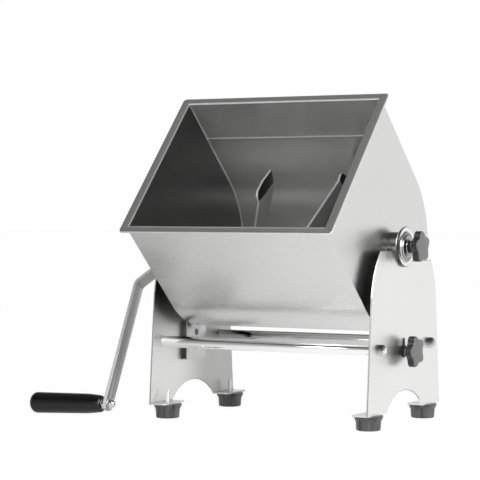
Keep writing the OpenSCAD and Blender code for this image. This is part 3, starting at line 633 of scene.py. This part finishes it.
# The folded hem that closes the sheet's edge, just inside the rim. Its rear length is painted near
# white as a highlight
hem = {
    "radius": 0.0013,
    "highlightColor": (0.95, 0.95, 0.95),
    "highlightRoughness": 0.3,
    "highlightMetal": 0.4,
}

# The line pressed across the rear wall
pressLine = {
    "radius": 0.001,
    "height": 0.097,
    "color": (0.65, 0.65, 0.65),
    "roughness": 0.45,
    "metal": 0.6,
}
wireSides = 16
alongX, alongY = (0, math.pi / 2, 0), (math.pi / 2, 0, 0)


def addWire(name, radius, length, place, turn, finish):
    bpy.ops.object.select_all(action="DESELECT")
    bpy.ops.mesh.primitive_cylinder_add(vertices=wireSides, radius=radius, depth=length,
                                        location=place, rotation=turn)
    bpy.ops.object.transform_apply(location=True, rotation=True, scale=True)
    leanWithTank(bpy.context.object, name, finish)


def makeHem():
    # painted highlight: the rear hem is near white
    paintedHighlight = brushedSheet("hemPaintedHighlight", hem["highlightColor"], hem["highlightRoughness"], "x", hem["highlightMetal"])
    for name, y, finish in (("rimHemFront", -tank["half"], finishes["rim_steel"]),
                            ("rimHemRear", tank["half"], paintedHighlight)):
        addWire(name, hem["radius"], wrapLength, (wrapMiddle, y, tank["hemAt"]), alongX, finish)
    for name, x in (("rimHemLeft", wrapLow.x), ("rimHemRight", wrapHigh.x)):
        addWire(name, hem["radius"], 2 * tank["half"], (x, 0, tank["hemAt"]), alongY,
                finishes["rim_steel"])


def makePressLine():
    pressed = brushedSheet("pressedLine", pressLine["color"], pressLine["roughness"], "x",
                           pressLine["metal"])
    addWire("wallPressLine", pressLine["radius"], wrapLength,
            (wrapMiddle, tank["half"], pressLine["height"]), alongX, pressed)


makeHem()
makePressLine()
print("hem and press line made")


# Threaded foot studs: a core with a ridge that winds up it
studThread = {
    "color": (0.98, 0.98, 0.98),
    "roughness": 0.3,
    "pitch": 0.0008,
    "depth": 0.0004,
    "gap": 0.00002,  # between one turn's foot and the next
    "coreGrow": 1.01,  # the core hides the ridge's foot
    "steps": 20,
}


def makeStud(foot, low, high, radius):
    footLow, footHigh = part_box(foot)
    x, y = (footLow.x + footHigh.x) / 2, (footLow.y + footHigh.y) / 2
    root = radius - studThread["depth"]
    bpy.ops.object.select_all(action="DESELECT")
    bpy.ops.mesh.primitive_circle_add(vertices=3, radius=radius)
    ridge = bpy.context.object
    corners = ((root, 0, studThread["gap"]), (radius, 0, studThread["pitch"] / 2),
               (root, 0, studThread["pitch"] - studThread["gap"]))
    for vertex, corner in zip(ridge.data.vertices, corners):
        vertex.co = corner
    wind = ridge.modifiers.new("thread", "SCREW")
    wind.axis = "Z"
    wind.angle = 2 * math.pi
    wind.screw_offset = studThread["pitch"]
    wind.iterations = int((high.z - low.z) / studThread["pitch"]) - 1
    wind.steps = wind.render_steps = studThread["steps"]
    wind.use_normal_calculate = True
    bpy.ops.object.modifier_apply(modifier=wind.name)
    bpy.ops.object.mode_set(mode="EDIT")
    bpy.ops.mesh.select_all(action="SELECT")
    bpy.ops.mesh.fill_holes(sides=len(corners))
    bpy.ops.mesh.normals_make_consistent(inside=False)
    bpy.ops.object.mode_set(mode="OBJECT")
    ridge.location = (x, y, low.z)
    bpy.ops.mesh.primitive_cylinder_add(vertices=studThread["steps"],
                                        radius=root * studThread["coreGrow"],
                                        depth=high.z - low.z,
                                        location=(x, y, (low.z + high.z) / 2))
    core = bpy.context.object
    ridge.select_set(True)
    bpy.ops.object.join()
    return core


def makeStuds():
    low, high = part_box("foot_studs")
    footLow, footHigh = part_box("foot_front_right")
    radius = high.x - (footLow.x + footHigh.x) / 2
    studs = [makeStud(foot, low, high, radius) for foot in
             ("foot_front_left", "foot_front_right", "foot_rear_left", "foot_rear_right")]
    for stud in studs:
        stud.select_set(True)
    joined = studs[0]
    bpy.context.view_layer.objects.active = joined
    bpy.ops.object.join()
    bpy.ops.object.transform_apply(location=True, rotation=True, scale=True)
    bpy.ops.object.shade_smooth_by_angle(angle=trimSmoothTo)
    joined.name = "footStudThreads"
    joined.data.materials.append(turnedMetal("studSteel", studThread["color"],
                                             studThread["roughness"]))
    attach(joined, "frame")
    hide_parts("foot_studs")


makeStuds()
print("foot studs threaded")


# A white floor that the metal mirrors, with painted shade in the mirrored floor, darker towards the
# crank's side
whiteFloor = {
    "size": 30,
    "color": (0.8, 0.8, 0.8, 1),
    "roughness": 0.9,
    "glow": 1.05,
    "shade": 0.08,  # how strongly the object's shadow shows
    "fadeAcross": (-0.38, 0.12),  # along x, in metres
    "mirroredWithPaintedShade": (0.24, 1.0),  # how bright the metal mirrors it at either end of the fade
}


def makeFloor():
    bpy.ops.object.select_all(action="DESELECT")
    bpy.ops.mesh.primitive_plane_add(size=whiteFloor["size"], location=(0, 0, 0))
    floor = bpy.context.object
    floor.name = "floor"
    mat, nodes, links = newMaterial("whiteFloor")
    shader = nodes["Principled BSDF"]
    shader.inputs["Base Color"].default_value = whiteFloor["color"]
    shader.inputs["Roughness"].default_value = whiteFloor["roughness"]
    glow = nodes.new("ShaderNodeEmission")
    glow.inputs["Strength"].default_value = whiteFloor["glow"]
    place = nodes.new("ShaderNodeTexCoord")
    split = nodes.new("ShaderNodeSeparateXYZ")
    links.new(place.outputs["Object"], split.inputs[0])
    # painted shade: as the metal mirrors it, the floor darkens towards the crank's side
    fade = mapped(nodes, links, split.outputs["X"], whiteFloor["fadeAcross"],
                  whiteFloor["mirroredWithPaintedShade"])
    paths = nodes.new("ShaderNodeLightPath")
    mirroredWithPaintedShade = computed(nodes, links, "MULTIPLY", paths.outputs["Is Glossy Ray"], fade)
    seen = computed(nodes, links, "MAXIMUM", paths.outputs["Is Camera Ray"], mirroredWithPaintedShade)
    mix = nodes.new("ShaderNodeMixShader")
    links.new(computed(nodes, links, "MULTIPLY", seen, 1 - whiteFloor["shade"]), mix.inputs["Fac"])
    links.new(shader.outputs[0], mix.inputs[1])
    links.new(glow.outputs[0], mix.inputs[2])
    links.new(mix.outputs[0], nodes["Material Output"].inputs["Surface"])
    floor.data.materials.append(mat)


# A bright horizon under a dim ceiling, and dimmer in front than behind
room = {
    "horizonLight": 1.0,
    "ceilingLight": 0.26,
    "ceilingRise": (0.2, 0.62),  # from horizon to ceiling, as the z of a direction
    "brightSide": (0.6, 0.8, 0),
    "sideSpan": (-0.8, 0.5),  # from the dim side to the bright one
    "frontLight": 0.4,
}


def makeWorld():
    world = bpy.data.worlds.new("studio")
    bpy.context.scene.world = world
    world.use_nodes = True
    nodes, links = world.node_tree.nodes, world.node_tree.links
    place = nodes.new("ShaderNodeTexCoord")
    split = nodes.new("ShaderNodeSeparateXYZ")
    links.new(place.outputs["Generated"], split.inputs[0])
    rise = mapped(nodes, links, split.outputs["Z"], room["ceilingRise"],
                  (room["horizonLight"], room["ceilingLight"]), smooth=True)
    behind = nodes.new("ShaderNodeVectorMath")
    behind.operation = "DOT_PRODUCT"
    behind.inputs[1].default_value = room["brightSide"]
    links.new(place.outputs["Generated"], behind.inputs[0])
    around = mapped(nodes, links, behind.outputs["Value"], room["sideSpan"],
                    (room["frontLight"], 1))
    light = nodes["Background"]
    light.inputs["Color"].default_value = (1, 1, 1, 1)
    links.new(computed(nodes, links, "MULTIPLY", rise, around), light.inputs["Strength"])
    white = nodes.new("ShaderNodeBackground")
    white.inputs["Color"].default_value = (1, 1, 1, 1)
    white.inputs["Strength"].default_value = 1
    paths = nodes.new("ShaderNodeLightPath")
    mix = nodes.new("ShaderNodeMixShader")
    links.new(paths.outputs["Is Camera Ray"], mix.inputs["Fac"])
    links.new(light.outputs[0], mix.inputs[1])
    links.new(white.outputs[0], mix.inputs[2])
    links.new(mix.outputs[0], nodes["World Output"].inputs["Surface"])


# Place, width of the disk in metres, and power in watts
lamps = {
    "keyLamp": ((1.2, -1.6, 1.9), 1.1, 14),
    "fillLamp": ((-0.45, -2.3, 0.7), 0.5, 5),
    "sideLamp": ((2.2, -0.5, 0.9), 1.1, 24),
}


def softLamp(name, place, size, power):
    bpy.ops.object.light_add(type="AREA", location=place)
    lamp = bpy.context.object
    lamp.name = name
    lamp.data.shape = "DISK"
    lamp.data.size = size
    lamp.data.energy = power
    aim = pivot - Vector(place)
    lamp.rotation_euler = aim.to_track_quat("-Z", "Y").to_euler()


makeFloor()
makeWorld()
for name, lampSetup in lamps.items():
    softLamp(name, *lampSetup)
print("studio lit")


# The camera stands far off, low and to the right of the mixer. Its angles are in degrees
cameraSetup = {
    "fromPivot": (1.2486, -2.3851, 0.0611),
    "turn": 29.29,
    "down": 1.138,
    "lens": 143.8,
    "sensor": 36,
    "nearest": 0.1,
}
bpy.ops.object.camera_add()
camera = bpy.context.object
camera.location = pivot + Vector(cameraSetup["fromPivot"])
camera.rotation_euler = (math.radians(90 - cameraSetup["down"]), 0,
                         math.radians(cameraSetup["turn"]))
camera.data.lens = cameraSetup["lens"]
camera.data.sensor_width = cameraSetup["sensor"]
camera.data.clip_start = cameraSetup["nearest"]
bpy.context.scene.camera = camera
bpy.context.scene.view_settings.view_transform = "Standard"
print("camera placed")
